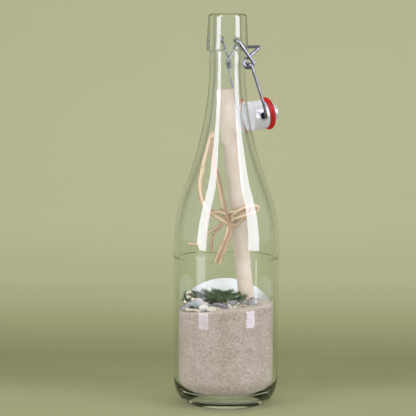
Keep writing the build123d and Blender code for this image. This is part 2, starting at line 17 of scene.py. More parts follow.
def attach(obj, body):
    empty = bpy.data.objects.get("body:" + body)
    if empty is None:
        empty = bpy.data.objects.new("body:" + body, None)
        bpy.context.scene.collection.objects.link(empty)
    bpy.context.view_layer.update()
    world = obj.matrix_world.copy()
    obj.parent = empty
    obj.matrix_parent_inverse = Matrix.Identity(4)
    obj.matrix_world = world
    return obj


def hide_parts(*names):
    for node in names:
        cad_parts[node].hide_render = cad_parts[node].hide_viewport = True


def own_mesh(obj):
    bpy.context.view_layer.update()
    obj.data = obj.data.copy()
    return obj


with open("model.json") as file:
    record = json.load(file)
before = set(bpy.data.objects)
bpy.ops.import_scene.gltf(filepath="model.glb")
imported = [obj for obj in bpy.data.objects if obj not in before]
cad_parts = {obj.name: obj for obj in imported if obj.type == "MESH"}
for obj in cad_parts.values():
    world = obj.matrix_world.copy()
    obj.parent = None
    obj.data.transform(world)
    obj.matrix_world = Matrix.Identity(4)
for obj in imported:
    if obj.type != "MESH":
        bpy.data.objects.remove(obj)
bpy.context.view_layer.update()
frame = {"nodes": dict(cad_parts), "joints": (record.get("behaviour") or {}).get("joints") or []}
nodes = frame["nodes"]
mm = 0.001

# %% [markdown]
# The bottle is looked at from a little to one side of the closure's pivots. What lies inside is placed by
# three numbers: how far across the view, how far away from the viewer, and how high. One helper turns them
# into the model's own axes, in metres.

# %% Places inside the bottle
view_turn = math.radians(25)
across_axis = Vector((math.cos(view_turn), -math.sin(view_turn), 0))
away_axis = Vector((math.sin(view_turn), math.cos(view_turn), 0))


def inside(across, away, height):
    """A point given in millimetres across the view, away from the viewer and up."""
    return (across_axis * across + away_axis * away + Vector((0, 0, height))) * mm


# %% [markdown]
# The camera stands 1.4 m off and looks slightly down. A long lens keeps the bottle's sides nearly parallel,
# as in the photograph. It is turned a little to the left, so that the bottle stands right of the middle.

# %% Camera
camera_distance = 1385 * mm
camera_height = 287.4 * mm
camera_pitch = math.radians(5.19)
camera_roll = math.radians(0.28)
photo_width = 416
lens_in_pixels = 1696
axis_offset_pixels = 18.6

camera_data = bpy.data.cameras.new("camera")
camera_data.sensor_width = 36
camera_data.lens = camera_data.sensor_width * lens_in_pixels / photo_width
camera_data.clip_start = 0.05
camera = bpy.data.objects.new("camera", camera_data)
bpy.context.scene.collection.objects.link(camera)
heading = -view_turn + math.atan(axis_offset_pixels / lens_in_pixels)
camera.matrix_world = (
    Matrix.Translation(-away_axis * camera_distance + Vector((0, 0, camera_height)))
    @ Matrix.Rotation(heading, 4, "Z")
    @ Matrix.Rotation(math.radians(90) - camera_pitch, 4, "X")
    @ Matrix.Rotation(camera_roll, 4, "Z")
)
bpy.context.scene.camera = camera
bpy.context.scene.view_settings.view_transform = "Standard"
print("lens", round(camera_data.lens, 1), "mm")

# %% [markdown]
# ## Materials
#
# Colours are written as sRGB hex, the way that a colour picker shows them, and one function turns them
# linear. One more function adds a node, sets it and links it, and every material is built with it.


# %% Colour and node helpers
def linear(hex_colour):
    """Linear red, green, blue and alpha of an sRGB hex colour."""
    parts = [int(hex_colour[i : i + 2], 16) / 255 for i in (1, 3, 5)]
    return [c / 12.92 if c <= 0.04045 else ((c + 0.055) / 1.055) ** 2.4 for c in parts] + [1]


def set_inputs(material, node, inputs):
    """Sets or links inputs. Each is a value, a node's output, or a node that stands for its first output."""
    for name, value in inputs.items():
        if isinstance(value, bpy.types.Node):
            value = value.outputs[0]
        if isinstance(value, bpy.types.NodeSocket):
            material.node_tree.links.new(value, node.inputs[name])
        else:
            node.inputs[name].default_value = value


def add_node(material, kind, inputs=None, stops=(), **settings):
    """Adds a shader node with its settings and inputs. Stops are a colour ramp's places and hex colours."""
    node = material.node_tree.nodes.new("ShaderNode" + kind)
    for name, value in settings.items():
        setattr(node, name, value)
    set_inputs(material, node, inputs or {})
    if stops:
        elements = node.color_ramp.elements
        while len(elements) < len(stops):
            elements.new(0.5)
        for element, (place, colour) in zip(elements, stops):
            element.position = place
            element.color = linear(colour)
    return node


def new_material(name, inputs, space="Object"):
    """A material with a Principled shader, that shader, and the coordinates that its patterns follow."""
    material = bpy.data.materials.new(name)
    material.use_nodes = True
    shader = material.node_tree.nodes["Principled BSDF"]
    set_inputs(material, shader, inputs)
    return material, shader, add_node(material, "TexCoord").outputs[space]


def per_size(millimetres):
    """The pattern scale at which one cell or wave is about this large."""
    return 1 / (millimetres * mm)


def dress(name, material):
    """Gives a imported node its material."""
    node = nodes[name]
    node.data.materials.clear()
    node.data.materials.append(material)
    print(name, "is", material.name)


multiply = {"data_type": "RGBA", "blend_type": "MULTIPLY"}

# %% [markdown]
# Bottle glass is soda-lime glass: clear, with a faint green that shows where the light has a long way through
# it, in the base and at the edges. A volume colour gives just that, and a surface colour would not. The walls
# of a blown bottle are never quite even, so a very shallow wave bends the reflections a little.

# %% Bottle glass
glass, shader, place = new_material(
    "clear bottle glass",
    {"Transmission Weight": 1.0, "Roughness": 0.0, "IOR": 1.52, "Base Color": linear("#FBFFFC")},
)
uneven = add_node(glass, "TexNoise", {"Vector": place, "Scale": per_size(26), "Detail": 1.0})
wave = add_node(glass, "Bump", {"Height": uneven, "Strength": 0.15, "Distance": 0.25 * mm})
set_inputs(glass, shader, {"Normal": wave})
clear = add_node(glass, "BsdfTransparent", {"Color": linear("#FBFCFB")})
shadow_ray = add_node(glass, "LightPath").outputs["Is Shadow Ray"]
through = add_node(glass, "MixShader", {0: shadow_ray, 1: shader, 2: clear})
body_colour = add_node(glass, "VolumeAbsorption", {"Color": linear("#A9CDB4"), "Density": 2.5})
output = glass.node_tree.nodes["Material Output"]
set_inputs(glass, output, {"Surface": through, "Volume": body_colour})
dress("glass_bottle", glass)

# %% [markdown]
# The closure is bent from spring steel wire with a coat of zinc. Zinc dulls to a cloudy blue-grey, so colour
# and roughness both follow one cloudy noise. The drawing lines are finer than a render can show, and are
# drawn about a third of a millimetre wide.

# %% Galvanised wire
wire, shader, place = new_material("galvanised steel wire", {"Metallic": 1.0})
clouds = add_node(wire, "TexNoise", {"Vector": place, "Scale": per_size(1.6), "Detail": 3.0})
zinc = [(0.35, "#6C6F77"), (0.55, "#8C8F98"), (0.72, "#A6A9B2")]
shade = add_node(wire, "ValToRGB", {"Fac": clouds}, zinc)
dullness = add_node(wire, "MapRange", {"Value": clouds, "To Min": 0.22, "To Max": 0.45})
drawn = add_node(wire, "TexNoise", {"Vector": place, "Scale": per_size(0.35), "Detail": 2.0})
lines = add_node(wire, "Bump", {"Height": drawn, "Strength": 0.25, "Distance": 0.05 * mm})
set_inputs(wire, shader, {"Base Color": shade, "Roughness": dullness, "Normal": lines})
for name in ("lever_wire", "bail_wire"):
    dress(name, wire)

# %% [markdown]
# The stopper is glazed porcelain: white, glossy and a little uneven. The funnel where the wire goes in is a
# recess, and its shade is painted on: a dark colour that depends on the distance from the line of the hole.

# %% Porcelain stopper
hole = next(joint for joint in frame["joints"] if joint["name"] == "stopper_turn")["pos_m"]
hole_shade_reach = 5.2 * mm
porcelain, shader, place = new_material(
    "white glazed porcelain",
    {
        "Roughness": 0.2,
        "IOR": 1.5,
        "Subsurface Weight": 0.06,
        "Subsurface Scale": 0.8 * mm,
        "Coat Weight": 0.25,
        "Coat Roughness": 0.04,
    },
)
level = add_node(porcelain, "VectorMath", {0: place, 1: (1, 0, 1)}, operation="MULTIPLY")
off_line = add_node(
    porcelain, "VectorMath", {0: level, 1: (hole[0], 0, hole[2])}, operation="DISTANCE"
).outputs["Value"]
reach = add_node(porcelain, "MapRange", {"Value": off_line, "From Max": hole_shade_reach})
# painted shade in the funnel round the wire's hole: dark near its line, fading out to the glaze
hole_shade_colours = [(0.0, "#2E2D2B"), (0.42, "#4A4946"), (0.6, "#C4C4C1"), (1.0, "#FFFFFF")]
hole_shade = add_node(porcelain, "ValToRGB", {"Fac": reach}, hole_shade_colours)
mottle = add_node(porcelain, "TexNoise", {"Vector": place, "Scale": per_size(9.0)})
glaze = add_node(porcelain, "ValToRGB", {"Fac": mottle}, [(0.35, "#DFE0E0"), (0.7, "#EEEFEF")])
glaze_and_hole_shade = add_node(porcelain, "Mix", {"Factor": 1.0, "A": glaze, "B": hole_shade}, **multiply)
uneven = add_node(porcelain, "TexNoise", {"Vector": place, "Scale": per_size(5.0)})
ripple = add_node(porcelain, "Bump", {"Height": uneven, "Strength": 0.3, "Distance": 0.12 * mm})
set_inputs(porcelain, shader, {"Base Color": glaze_and_hole_shade.outputs["Result"], "Normal": ripple})
dress("stopper", porcelain)

# %% [markdown]
# The gasket is moulded red rubber: an even red with a faint pale bloom, and a skin that is neither dull nor
# glossy, so its highlight is weak and wide.

# %% Rubber gasket
rubber, shader, place = new_material(
    "red rubber",
    {"Roughness": 0.42, "IOR": 1.5, "Specular IOR Level": 0.25},
)
bloom = add_node(rubber, "TexNoise", {"Vector": place, "Scale": per_size(3.0), "Detail": 4.0})
reds = [(0.3, "#BC130B"), (0.6, "#DA1B12"), (0.8, "#E6382A")]
red = add_node(rubber, "ValToRGB", {"Fac": bloom}, reds)
grain = add_node(rubber, "TexNoise", {"Vector": place, "Scale": per_size(0.5), "Detail": 2.0})
skin = add_node(rubber, "Bump", {"Height": grain, "Strength": 0.35, "Distance": 0.08 * mm})
set_inputs(rubber, shader, {"Base Color": red, "Normal": skin})
dress("gasket", rubber)

# %% [markdown]
# Paper is pressed from short fibres. Two noises, a coarse cloudy one and a fine one, colour it and roughen
# it. Real fibres are too thin to show, so the fine noise is drawn at 0.6 mm. The label is bright white and
# blank. The scroll is an old cream sheet with deeper creases.


# %% Paper
def paper(name, dark, middle, light, cloud_mm, crease):
    """Uncoated paper: cloudy colour, fine fibre and a few soft creases."""
    material, shader, place = new_material(name, {"Roughness": 0.85, "IOR": 1.4})
    cloud = add_node(material, "TexNoise", {"Vector": place, "Scale": per_size(cloud_mm), "Detail": 6.0})
    stops = [(0.3, dark), (0.5, middle), (0.68, light)]
    colour = add_node(material, "ValToRGB", {"Fac": cloud}, stops)
    pulp = add_node(material, "TexNoise", {"Vector": place, "Scale": per_size(0.6), "Detail": 5.0})
    fine = add_node(material, "Bump", {"Height": pulp, "Strength": 0.3, "Distance": 0.08 * mm})
    folds = add_node(material, "TexNoise", {"Vector": place, "Scale": per_size(14.0), "Distortion": 0.6})
    creased = add_node(
        material,
        "Bump",
        {"Height": folds, "Strength": crease, "Distance": 1.2 * mm, "Normal": fine},
    )
    set_inputs(material, shader, {"Base Color": colour, "Normal": creased})
    return material


label_paper = paper("blank label paper", "#F0EBE4", "#F6F2EC", "#FBF8F3", 12.0, 0.1)
dress("paper_label", label_paper)
scroll_paper = paper("cream scroll paper", "#CFBBA2", "#DCCAB3", "#E5D6C2", 20.0, 0.28)

# %% [markdown]
# ## Shapes
#
# Rolled paper, raffia and shells are all bent sheets. One helper adds a grid, moves each of its points to
# where a function says, and can give the sheet a thickness. Points that fall together are merged, so a sheet
# that meets itself becomes a tube.


# %% Bent sheets
def edit(thing, kind="VERT"):
    """Opens one object for editing with nothing selected, and gives its mesh to select in."""
    bpy.ops.object.select_all(action="DESELECT")
    bpy.context.view_layer.objects.active = thing
    thing.select_set(True)
    bpy.ops.object.mode_set(mode="EDIT")
    bpy.ops.mesh.select_mode(type=kind)
    bpy.ops.mesh.select_all(action="DESELECT")
    return bmesh.from_edit_mesh(thing.data)


def apply_modifier(thing, kind, **settings):
    """Adds one modifier, sets it and applies it."""
    bpy.ops.object.select_all(action="DESELECT")
    bpy.context.view_layer.objects.active = thing
    thing.select_set(True)
    modifier = thing.modifiers.new(kind.lower(), kind)
    for key, value in settings.items():
        setattr(modifier, key, value)
    bpy.ops.object.modifier_apply(modifier=modifier.name)


def bent_sheet(name, along, across, place, thickness_mm=0.0, smooth=60):
    """A grid whose points go to place(u, v), with u and v from 0 to 1."""
    bpy.ops.object.select_all(action="DESELECT")
    bpy.ops.mesh.primitive_grid_add(x_subdivisions=along, y_subdivisions=across, size=1, calc_uvs=True)
    thing = bpy.context.object
    thing.name = name
    for vertex in thing.data.vertices:
        vertex.co = place(vertex.co.x + 0.5, vertex.co.y + 0.5)
    edit(thing)
    bpy.ops.mesh.select_all(action="SELECT")
    bpy.ops.mesh.remove_doubles(threshold=0.01 * mm)
    bpy.ops.mesh.normals_make_consistent(inside=False)
    bpy.ops.object.mode_set(mode="OBJECT")
    if thickness_mm:
        apply_modifier(thing, "SOLIDIFY", thickness=thickness_mm * mm, offset=0.0)
    bpy.ops.object.shade_smooth_by_angle(angle=math.radians(smooth))
    return thing


def finished(thing, material, body, slot, *replaced):
    """Gives a piece its material and its body, and hides the nodes that it stands for."""
    thing.data.materials.clear()
    thing.data.materials.append(material)
    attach(thing, body)
    if replaced:
        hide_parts(*replaced)


def wobble(seed, *values):
    """Smooth noise from -1 to 1, the same on every run."""
    return noise.noise(Vector((*values, 0, 0)[:2]).to_3d() + Vector((0, 0, seed * 7.31)))


# %% [markdown]
# The scroll is one sheet rolled two and a half turns. Near the top its loose outer edge has sprung open and
# reaches further round, which leaves a step a quarter of the way down. The whole roll leans from the neck to
# the right and stands in the sand.

# %% Paper scroll
scroll_foot = Vector((17.6, 5.0, 78.0))
scroll_top = Vector((-1.4, -0.6, 258.6))
scroll_length = (scroll_top - scroll_foot).length
scroll_radius = 6.75
scroll_turns = 2.6
layer_gap = 0.85
paper_thickness = 0.3
paper_wave = 0.16
worn_edge = 0.35
loose_edge_degrees = 226
flap_start = 0.745
flap_rise = 0.018
flap_spring = 0.95
flap_degrees = 40
flap_turns = 0.42


def scroll_frame():
    """The scroll's axis, and two directions across it: to the right, and away."""
    axis = (scroll_top - scroll_foot).normalized()
    right = (Vector((1, 0, 0)) - axis * axis.x).normalized()
    return axis, right, axis.cross(right)


def on_scroll(share, degrees, radius):
    """A point round the scroll's axis, in millimetres across, away and up. 0 degrees is to the right."""
    axis, right, back = scroll_frame()
    angle = math.radians(degrees)
    centre = scroll_foot.lerp(scroll_top, share)
    return centre + right * (radius * math.cos(angle)) + back * (radius * math.sin(angle))


def rolled(u, v):
    """u runs round the roll from the loose edge inwards, v up the scroll."""
    turned = u * scroll_turns
    spring = min(1.0, max(0.0, v - flap_start) / flap_rise) * max(0.0, 1 - turned / flap_turns)
    degrees = loose_edge_degrees - flap_degrees * spring + 360 * turned
    radius = scroll_radius - layer_gap * turned + flap_spring * spring
    radius += paper_wave * wobble(1, 5 * turned, 9 * v) * (1 - 0.5 * u)
    wear = worn_edge * wobble(2, 9 * turned, 0) if v > 0.99 else 0
    return inside(*on_scroll(v + wear / scroll_length, degrees, radius))


scroll = bent_sheet("rolled_message", 230, 110, rolled, paper_thickness)
finished(scroll, scroll_paper, "message", "scroll_paper", "paper_scroll")
sheet_width = math.tau * (scroll_radius - layer_gap * scroll_turns / 2) * scroll_turns
print("scroll sheet", round(sheet_width), "by", round(scroll_length), "mm")

# %% [markdown]
# ## Raffia
#
# Raffia is a dried palm leaf, torn into flat ribbons that curl along their length. It is straw-coloured with
# brown veins along the fibre, so its colour is a stretched noise in the ribbon's own coordinates, and it is
# browned towards its torn edges.


# %% Raffia material
def raffia_material(name, dark, middle, light, edge):
    """Dried palm leaf with veins along the ribbon."""
    material, shader, own = new_material(name, {"Roughness": 0.62, "IOR": 1.45}, "UV")
    stretched = add_node(material, "Mapping", {"Vector": own, "Scale": (3.0, 9.0, 1.0)})
    veins = add_node(material, "TexNoise", {"Vector": stretched, "Scale": 1.0, "Detail": 4.0})
    stops = [(0.3, dark), (0.46, middle), (0.62, light)]
    colour = add_node(material, "ValToRGB", {"Fac": veins}, stops)
    side = add_node(material, "SeparateXYZ", {"Vector": own}).outputs["Y"]
    off_middle = add_node(material, "Math", {0: side, 1: 0.5}, operation="SUBTRACT")
    off_middle = add_node(material, "Math", {0: off_middle}, operation="ABSOLUTE")
    stops = [(0.0, "#FFFFFF"), (0.3, "#FFFFFF"), (0.46, edge)]
    edges = add_node(material, "ValToRGB", {"Fac": off_middle}, stops)
    browned = add_node(material, "Mix", {"Factor": 1.0, "A": colour, "B": edges}, **multiply)
    relief = add_node(material, "Bump", {"Height": veins, "Strength": 0.6, "Distance": 0.25 * mm})
    set_inputs(material, shader, {"Base Color": browned.outputs["Result"], "Normal": relief})
    return material


raffia = raffia_material("straw raffia", "#AA8450", "#DBBF92", "#ECDAB4", "#B08A5A")
raffia_brown = raffia_material("brown raffia", "#7A5431", "#B58D60", "#D7B88C", "#85583A")
print(raffia.name, "and", raffia_brown.name)

# %% [markdown]
# Each free end and each bow loop is a ribbon along a smooth curve. The curve's control points are counted
# from the knot's middle: across, away and up in millimetres. They follow the strand's solid, moved a little
# where the round glass shows it somewhere else.

# %% Ribbon routes
knot_middle = Vector((2.42, -7.69, 155.55))
# width in millimetres, the flat side's turn from the viewer at the start, middle and end, and the points
ribbons = {
    "raffia_loop_left": (2.8, (20, -25, 15), [
        (-1.6, -2.6, -4.0), (-4.6, -3.2, 6.0), (-6.9, -2.6, 14.4), (-9.5, -1.8, 29.4), (-12.7, -0.6, 44.4),
        (-15.4, 0.8, 53.6), (-14.2, 2.0, 61.0), (-12.6, 2.6, 70.0), (-15.2, 2.6, 66.0), (-17.6, 2.5, 55.4),
        (-20.5, 1.2, 43.4), (-23.5, -1.0, 30.4), (-23.0, -3.2, 17.0), (-15.7, -4.2, 4.6), (-2.6, -2.5, -5.0),
    ]),
    "raffia_loop_right": (3.0, (10, 35, -15), [
        (2.0, -3.1, 1.4), (8.5, -5.6, 6.6), (15.5, -5.2, 9.6), (21.5, -2.2, 9.4), (24.1, -0.2, 6.6),
        (20.7, -1.0, 3.6), (13.1, -3.6, 1.4), (2.8, -2.5, -1.6),
    ]),
    "raffia_tail_long": (2.8, (10, 20, 10), [
        (-2.6, -0.8, -2.4), (-9.1, -3.0, -7.4), (-16.5, -6.8, -12.6), (-23.1, -8.2, -20.0),
        (-28.3, -7.4, -23.0), (-32.9, -5.2, -21.0),
    ]),
    "raffia_tail_brown": (2.6, (0, 35, -25), [
        (-2.0, -3.2, -2.2), (-7.1, -7.4, -7.4), (-12.3, -9.4, -13.4), (-14.9, -10.0, -20.4),
        (-14.5, -9.8, -27.4),
    ]),
    "raffia_tail_front": (3.8, (-10, 15, 0), [
        (-0.1, -2.0, -3.2), (-1.1, -6.0, -11.2), (-4.3, -8.4, -20.0), (-8.3, -10.0, -28.4),
        (-11.1, -10.6, -36.4),
    ]),
    "raffia_tail_back": (3.6, (15, -10, 20), [
        (1.9, -1.2, -3.4), (1.2, -4.6, -12.2), (-1.9, -7.4, -21.6), (-5.6, -9.0, -30.4),
        (-7.6, -9.8, -38.4),
    ]),
    "raffia_tail_middle": (2.4, (0, 10, 30), [
        (0.8, -3.0, -3.6), (0.2, -6.5, -12.0), (-3.2, -9.4, -21.0), (-7.0, -11.0, -29.5),
        (-9.3, -11.8, -37.2),
    ]),
    "raffia_tail_short": (2.4, (-20, 30, 0), [
        (-0.3, -2.3, 0.8), (-4.8, -6.0, 3.4), (-10.4, -8.0, 5.0), (-16.2, -8.4, 3.2), (-19.6, -7.4, -3.0),
        (-18.2, -6.2, -11.0),
    ]),
    "raffia_loop_inner": (2.4, (10, 35, 15), [
        (0.4, -4.4, -5.6), (-1.6, -5.4, 2.0), (-4.4, -4.6, 12.0), (-7.4, -3.4, 26.0), (-10.6, -2.2, 40.0),
        (-14.4, -0.8, 52.0), (-13.6, 0.6, 64.0),
    ]),
    "raffia_leaf_left": (4.4, (30, 5, -20), [
        (-20.0, -0.2, 41.0), (-21.6, -1.4, 35.0), (-23.4, -2.4, 27.0), (-23.4, -3.4, 17.0),
        (-19.4, -4.6, 7.4), (-11.0, -5.6, 1.2), (-1.6, -4.6, -5.4),
    ]),
    "raffia_twist_right": (2.4, (0, 10, 20), [
        (-2.2, -4.2, -5.4), (2.6, -4.8, -7.6), (8.4, -4.2, -4.6), (14.6, -1.6, 1.0), (17.4, 4.0, 8.6),
        (15.0, 9.0, 10.0),
    ]),
}
brown_strands = ("raffia_tail_brown", "raffia_loop_inner", "raffia_twist_right", "raffia_tail_middle")
raffia_thickness = 0.22
print(len(ribbons), "ribbons")


# %% Lines along curves
def smooth_line(points):
    """Points along a smooth curve that starts and ends at its first and last control points."""
    curve = bpy.data.curves.new("route", "CURVE")
    curve.dimensions = "3D"
    curve.resolution_u = 10
    spline = curve.splines.new("NURBS")
    spline.points.add(len(points) - 1)
    for control, point in zip(spline.points, points):
        control.co = (*point, 1)
    spline.order_u = 3
    spline.use_endpoint_u = True
    route = bpy.data.objects.new("route", curve)
    bpy.context.scene.collection.objects.link(route)
    line = bpy.data.meshes.new_from_object(route)
    found = [vertex.co.copy() for vertex in line.vertices]
    bpy.data.objects.remove(route)
    bpy.data.curves.remove(curve)
    bpy.data.meshes.remove(line)
    return found


def along_line(line, u):
    """The place and the direction at a share of a line's length."""
    reach = max(0.0, min(1.0, u)) * (len(line) - 1)
    index = min(int(reach), len(line) - 2)
    place = line[index].lerp(line[index + 1], reach - index)
    before, after = line[max(0, index - 1)], line[min(len(line) - 1, index + 2)]
    return place, (after - before).normalized()


# %% Curled ribbons
def ribbon(name, line, width_mm, turns, faces, curl=0.28, taper=0.8):
    """A curled strip along a line. faces(place) is the direction that its flat side looks in."""
    start, halfway, end = turns

    def place(u, v):
        middle, forward = along_line(line, u)
        out = faces(middle)
        side = forward.cross(out).normalized()
        out = side.cross(forward).normalized()
        if u < 0.5:
            degrees = start + (halfway - start) * 2 * u
        else:
            degrees = halfway + (end - halfway) * (2 * u - 1)
        turn = math.radians(degrees + 14 * wobble(len(name), 6 * u, 0))
        side, out = side * math.cos(turn) + out * math.sin(turn), out * math.cos(turn) - side * math.sin(turn)
        ends = 1 - taper * max(0.0, abs(2 * u - 1) - 0.85) / 0.15 * 0.5
        width = width_mm * mm * ends * (0.9 + 0.2 * wobble(3 + len(name), 9 * u, 0))
        offset = (v - 0.5) * width
        return middle + side * offset + out * (curl * width * (0.25 - (v - 0.5) ** 2))

    return bent_sheet(name, max(24, 3 * len(line) // 2), 6, place, raffia_thickness)


def to_viewer(place):
    return -away_axis


# %% Free ends and bow loops
for name, (width_mm, turns, offsets) in ribbons.items():
    points = [inside(*(knot_middle + Vector(offset))) for offset in offsets]
    line = smooth_line(points)
    strip = ribbon(name + "_ribbon", line, width_mm, turns, to_viewer)
    material, slot = (raffia_brown, "raffia_brown") if name in brown_strands else (raffia, "raffia")
    stands_for = [name] if name in nodes else []
    finished(strip, material, "message", slot, *stands_for)
    length = sum((b - a).length for a, b in zip(line, line[1:]))
    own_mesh(strip)
    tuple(points[0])
    print(name, round(length / mm, 1), "mm")

# %% [markdown]
# Three turns of raffia go round the scroll, fanned a little, with their flat side on the paper. The knot is
# one strand tied over itself, with a small brown bight standing out of it on the left.

# %% Raffia turns round the scroll
wrap_share = 0.435
wrap_steps = 48
# rise along the scroll, tilt in degrees, width, distance from the paper, and the solid it stands for
wraps = [
    (-3.2, 12, 3.6, 0.7, ["raffia_wrap_lower"]),
    (0.6, 17, 3.8, 1.1, ["raffia_wrap_upper"]),
    (4.4, 22, 3.6, 0.8, []),
]
wrap_centre = inside(*scroll_foot.lerp(scroll_top, wrap_share))


def from_scroll(place):
    return (place - wrap_centre).normalized()


for count, (rise, tilt, width_mm, slack, stands_for) in enumerate(wraps):
    ring = []
    for step in range(wrap_steps):
        degrees = 360 * step / wrap_steps
        tilted = scroll_radius * math.sin(math.radians(tilt)) * math.cos(math.radians(degrees))
        share = wrap_share + (rise + tilted) / scroll_length
        ring.append(inside(*on_scroll(share, degrees, scroll_radius + slack)))
    ring.append(ring[0])
    band = ribbon(f"raffia_turn_{count}", ring, width_mm, (0, 0, 0), from_scroll, curl=0.12, taper=0.0)
    finished(band, raffia, "message", "raffia", *stands_for)
print(len(wraps), "turns of raffia")

# %% Raffia knot
knot_steps = 36
knot_reach = Vector((1.45, 1.8, 1.9))
strand_half_width, strand_half_depth = 1.35, 0.75
knot_loop = []
for step in range(knot_steps):
    t = math.tau * step / knot_steps
    over = Vector((math.sin(t) + 2 * math.sin(2 * t), math.sin(3 * t), math.cos(t) - 2 * math.cos(2 * t)))
    knot_loop.append(inside(*(knot_middle + over * knot_reach)))
knot_loop.append(knot_loop[0])


def knot_place(u, v):
    """A flattened tube along the knot's line."""
    middle, forward = along_line(knot_loop, u)
    side = forward.cross(away_axis).normalized() * strand_half_width
    out = side.cross(forward).normalized() * strand_half_depth
    turn = math.tau * v
    swell = 1 + 0.15 * wobble(5, 8 * u, 0)
    return middle + (side * math.cos(turn) + out * math.sin(turn)) * swell * mm


knot = bent_sheet("raffia_knot_strand", 108, 10, knot_place)
finished(knot, raffia, "message", "raffia", "raffia_knot")

bight_steps = 24
bight_middle = knot_middle + Vector((-6.6, -2.6, 3.2))
bight_reach = Vector((2.0, 0.8, 3.4))
bight_line = []
for step in range(bight_steps + 1):
    t = math.tau * step / bight_steps
    over = Vector((math.cos(t) + 0.6 * math.sin(t), math.cos(t), math.sin(t)))
    bight_line.append(inside(*(bight_middle + over * bight_reach)))


def from_bight(place):
    return (place - inside(*bight_middle)).normalized()


bight = ribbon("raffia_knot_bight", bight_line, 3.0, (20, 30, 20), from_bight, curl=0.2, taper=0.0)
finished(bight, raffia_brown, "message", "raffia_brown")
print("knot", len(knot.data.polygons), "faces")

# %% [markdown]
# ## Sand
#
# The sand copies its solid, remeshed fine enough that its top can be raked by noise. Real grains are finer
# than a render can show, so they are drawn at 0.7 mm: cells of mixed greys and browns, with a few dark ones.

# %% Sand material
sand, shader, place = new_material("beach sand", {"Roughness": 0.95, "IOR": 1.45})
grains = add_node(sand, "TexVoronoi", {"Vector": place, "Scale": per_size(0.72)}).outputs
chance = add_node(sand, "SeparateColor", {"Color": grains["Color"]}).outputs["Red"]
grain_colours = [
    (0.0, "#6B6055"), (0.05, "#96887A"), (0.14, "#B1A192"), (0.5, "#B8A899"), (0.88, "#BEAFA0"),
    (0.97, "#D1C4B6"),
]
mixed = add_node(sand, "ValToRGB", {"Fac": chance}, grain_colours)
damp = add_node(sand, "TexNoise", {"Vector": place, "Scale": per_size(11.0), "Detail": 5.0})
drift = add_node(sand, "ValToRGB", {"Fac": damp}, [(0.35, "#F0EDE9"), (0.65, "#FFFFFF")])
drifted = add_node(sand, "Mix", {"Factor": 1.0, "A": mixed, "B": drift}, **multiply)
rough = add_node(sand, "Bump", {"Height": grains["Distance"], "Strength": 0.5, "Distance": 0.16 * mm})
set_inputs(sand, shader, {"Base Color": drifted.outputs["Result"], "Normal": rough})

# %% Sand bed
sand_middle = 81.5
sand_rise = math.tan(math.radians(4.5))
top_reach = 1.2
voxel = 1.3


def sand_top(across):
    """The height of the sloping sand, in millimetres."""
    return sand_middle + sand_rise * across


beach = bpy.data.objects.new("sand_bed", nodes["sand_filling"].data.copy())
bpy.context.scene.collection.objects.link(beach)
apply_modifier(beach, "REMESH", mode="VOXEL", voxel_size=voxel * mm)
for vertex in beach.data.vertices:
    top = sand_top(vertex.co.dot(across_axis) / mm) * mm
    if abs(vertex.co.z - top) < top_reach * mm:
        x, y = vertex.co.x / mm, vertex.co.y / mm
        vertex.co.z += (0.55 * wobble(11, x / 7, y / 7) + 0.3 * wobble(12, x / 2.4, y / 2.4) - 0.1) * mm
bpy.ops.object.shade_smooth()
finished(beach, sand, "bottle", "sand", "sand_filling")
print("sand", len(beach.data.polygons), "faces")

# %% [markdown]
# ## Shells
#
# Four kinds of bent sheet make all the shells. A coiled shell is a tube that grows as it winds. A cockle or
# limpet is a ribbed dome that fans out from its beak. A mussel is a long dome with growth lines. A worn
# fragment is a lumpy, flattened ball. Each stands where its solid stands, and a few smaller ones lie between
# them, since the photograph shows a dense heap.


# %% Shell materials
def shell_material(name, colours, lines, line_strength, fleck=0.0, gloss=0.45, direction="X"):
    """Worn shell: bands along the growth lines, cloudy colour, fine pits, and dark flecks if it has them."""
    material, shader, place = new_material(
        name, {"Roughness": gloss, "IOR": 1.52, "Subsurface Weight": 0.05, "Subsurface Scale": 0.5 * mm}
    )
    own = add_node(material, "TexCoord").outputs["UV"]
    wave = add_node(
        material,
        "TexWave",
        {"Vector": own, "Scale": lines, "Distortion": 2.5, "Detail": 3.0, "Detail Scale": 2.0},
        bands_direction=direction,
    ).outputs["Fac"]
    cloud = add_node(material, "TexNoise", {"Vector": place, "Scale": per_size(2.6), "Detail": 5.0})
    blend = {"Factor": line_strength, "A": cloud, "B": wave}
    banded = add_node(material, "Mix", blend, data_type="FLOAT").outputs["Result"]
    stops = [(0.25 + 0.5 * index / (len(colours) - 1), colour) for index, colour in enumerate(colours)]
    colour = add_node(material, "ValToRGB", {"Fac": banded}, stops)
    if fleck:
        specks = add_node(material, "TexVoronoi", {"Vector": place, "Scale": per_size(1.1)})
        near = {0: specks.outputs["Distance"], 1: fleck}
        mask = add_node(material, "Math", near, operation="LESS_THAN")
        flecked = {"Factor": mask, "A": colour, "B": linear("#39332E")}
        colour = add_node(material, "Mix", flecked, data_type="RGBA").outputs["Result"]
    pits = add_node(material, "TexNoise", {"Vector": place, "Scale": per_size(0.7), "Detail": 4.0})
    worn = add_node(material, "Bump", {"Height": pits, "Strength": 0.5, "Distance": 0.25 * mm})
    set_inputs(material, shader, {"Base Color": colour, "Normal": worn})
    return material


